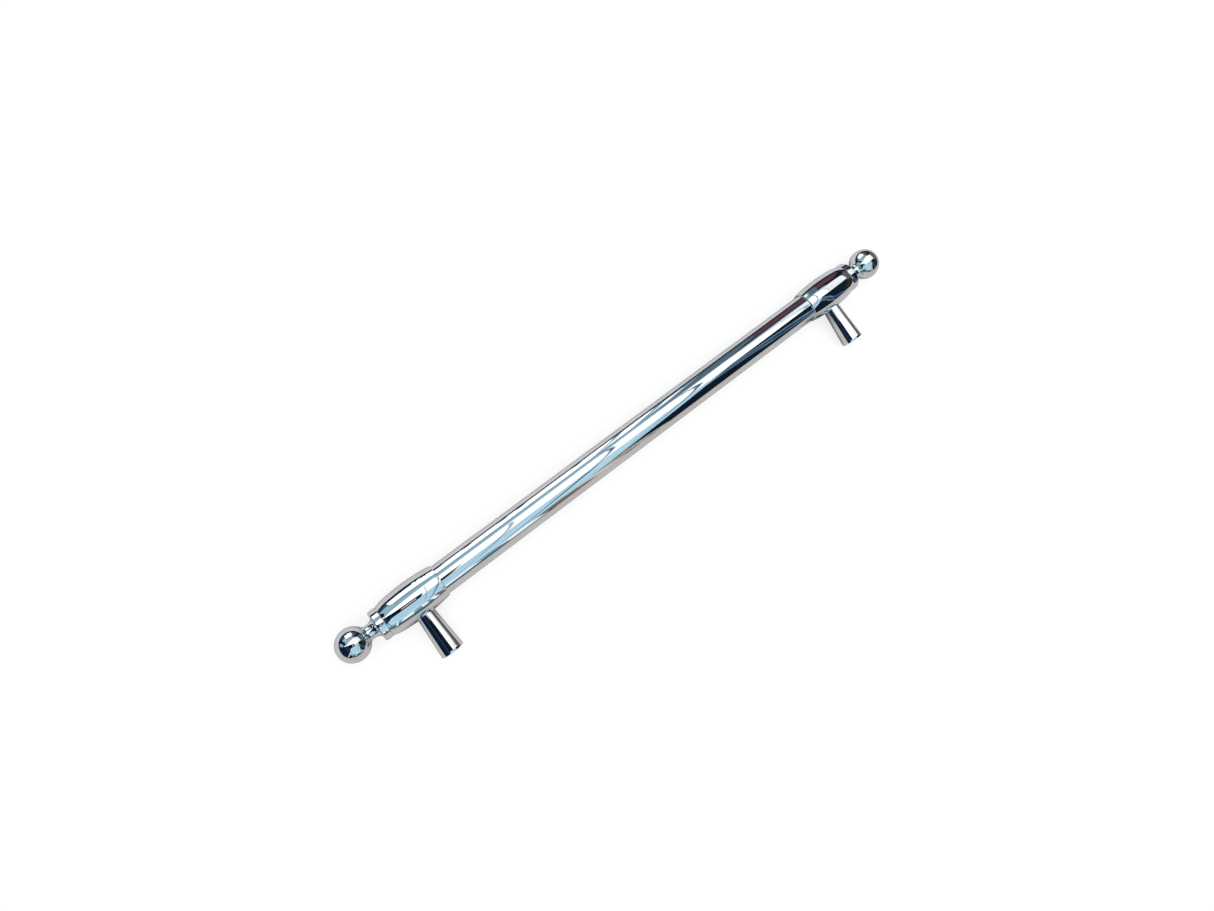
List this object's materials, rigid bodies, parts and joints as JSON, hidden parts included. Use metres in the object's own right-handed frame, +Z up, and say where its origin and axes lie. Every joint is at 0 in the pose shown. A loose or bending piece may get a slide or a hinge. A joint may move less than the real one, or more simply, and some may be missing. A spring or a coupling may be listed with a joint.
{
  "type": "bar handle",
  "caption": "Straight chrome bar handle on tapered posts, with barrel-shaped sockets and ball finials, fixed by screws from behind.",
  "frame": {"origin": "on the wall plane, midway between the two feet's screw holes", "axes": "+X along the bar, +Y from the front of the handle to the wall, +Z up"},
  "size_m": [0.5892, 0.0658, 0.0316],
  "materials": {
    "tube_chrome": "bright chrome plate on steel tube",
    "fitting_chrome": "bright chrome plate on turned and polished metal",
    "zinc_steel": "zinc plated",
    "brass": "turned, not plated",
    "nylon": "natural nylon"
  },
  "bodies": {
    "root": {"grip_tube": "tube_chrome", "socket_left": "fitting_chrome", "socket_right": "fitting_chrome", "collar_left": "fitting_chrome", "collar_right": "fitting_chrome", "finial_left": "fitting_chrome", "finial_right": "fitting_chrome", "post_left": "fitting_chrome", "post_right": "fitting_chrome", "tube_ring_left": "nylon", "tube_ring_right": "nylon", "tube_plug_left": "brass", "tube_plug_right": "brass", "foot_insert_left": "brass", "foot_insert_right": "brass", "finial_stud_left": "zinc_steel", "finial_stud_right": "zinc_steel", "post_screw_left": "zinc_steel", "post_screw_right": "zinc_steel", "post_lock_washer_left": "zinc_steel", "post_lock_washer_right": "zinc_steel"}
  },
  "joints": []
}
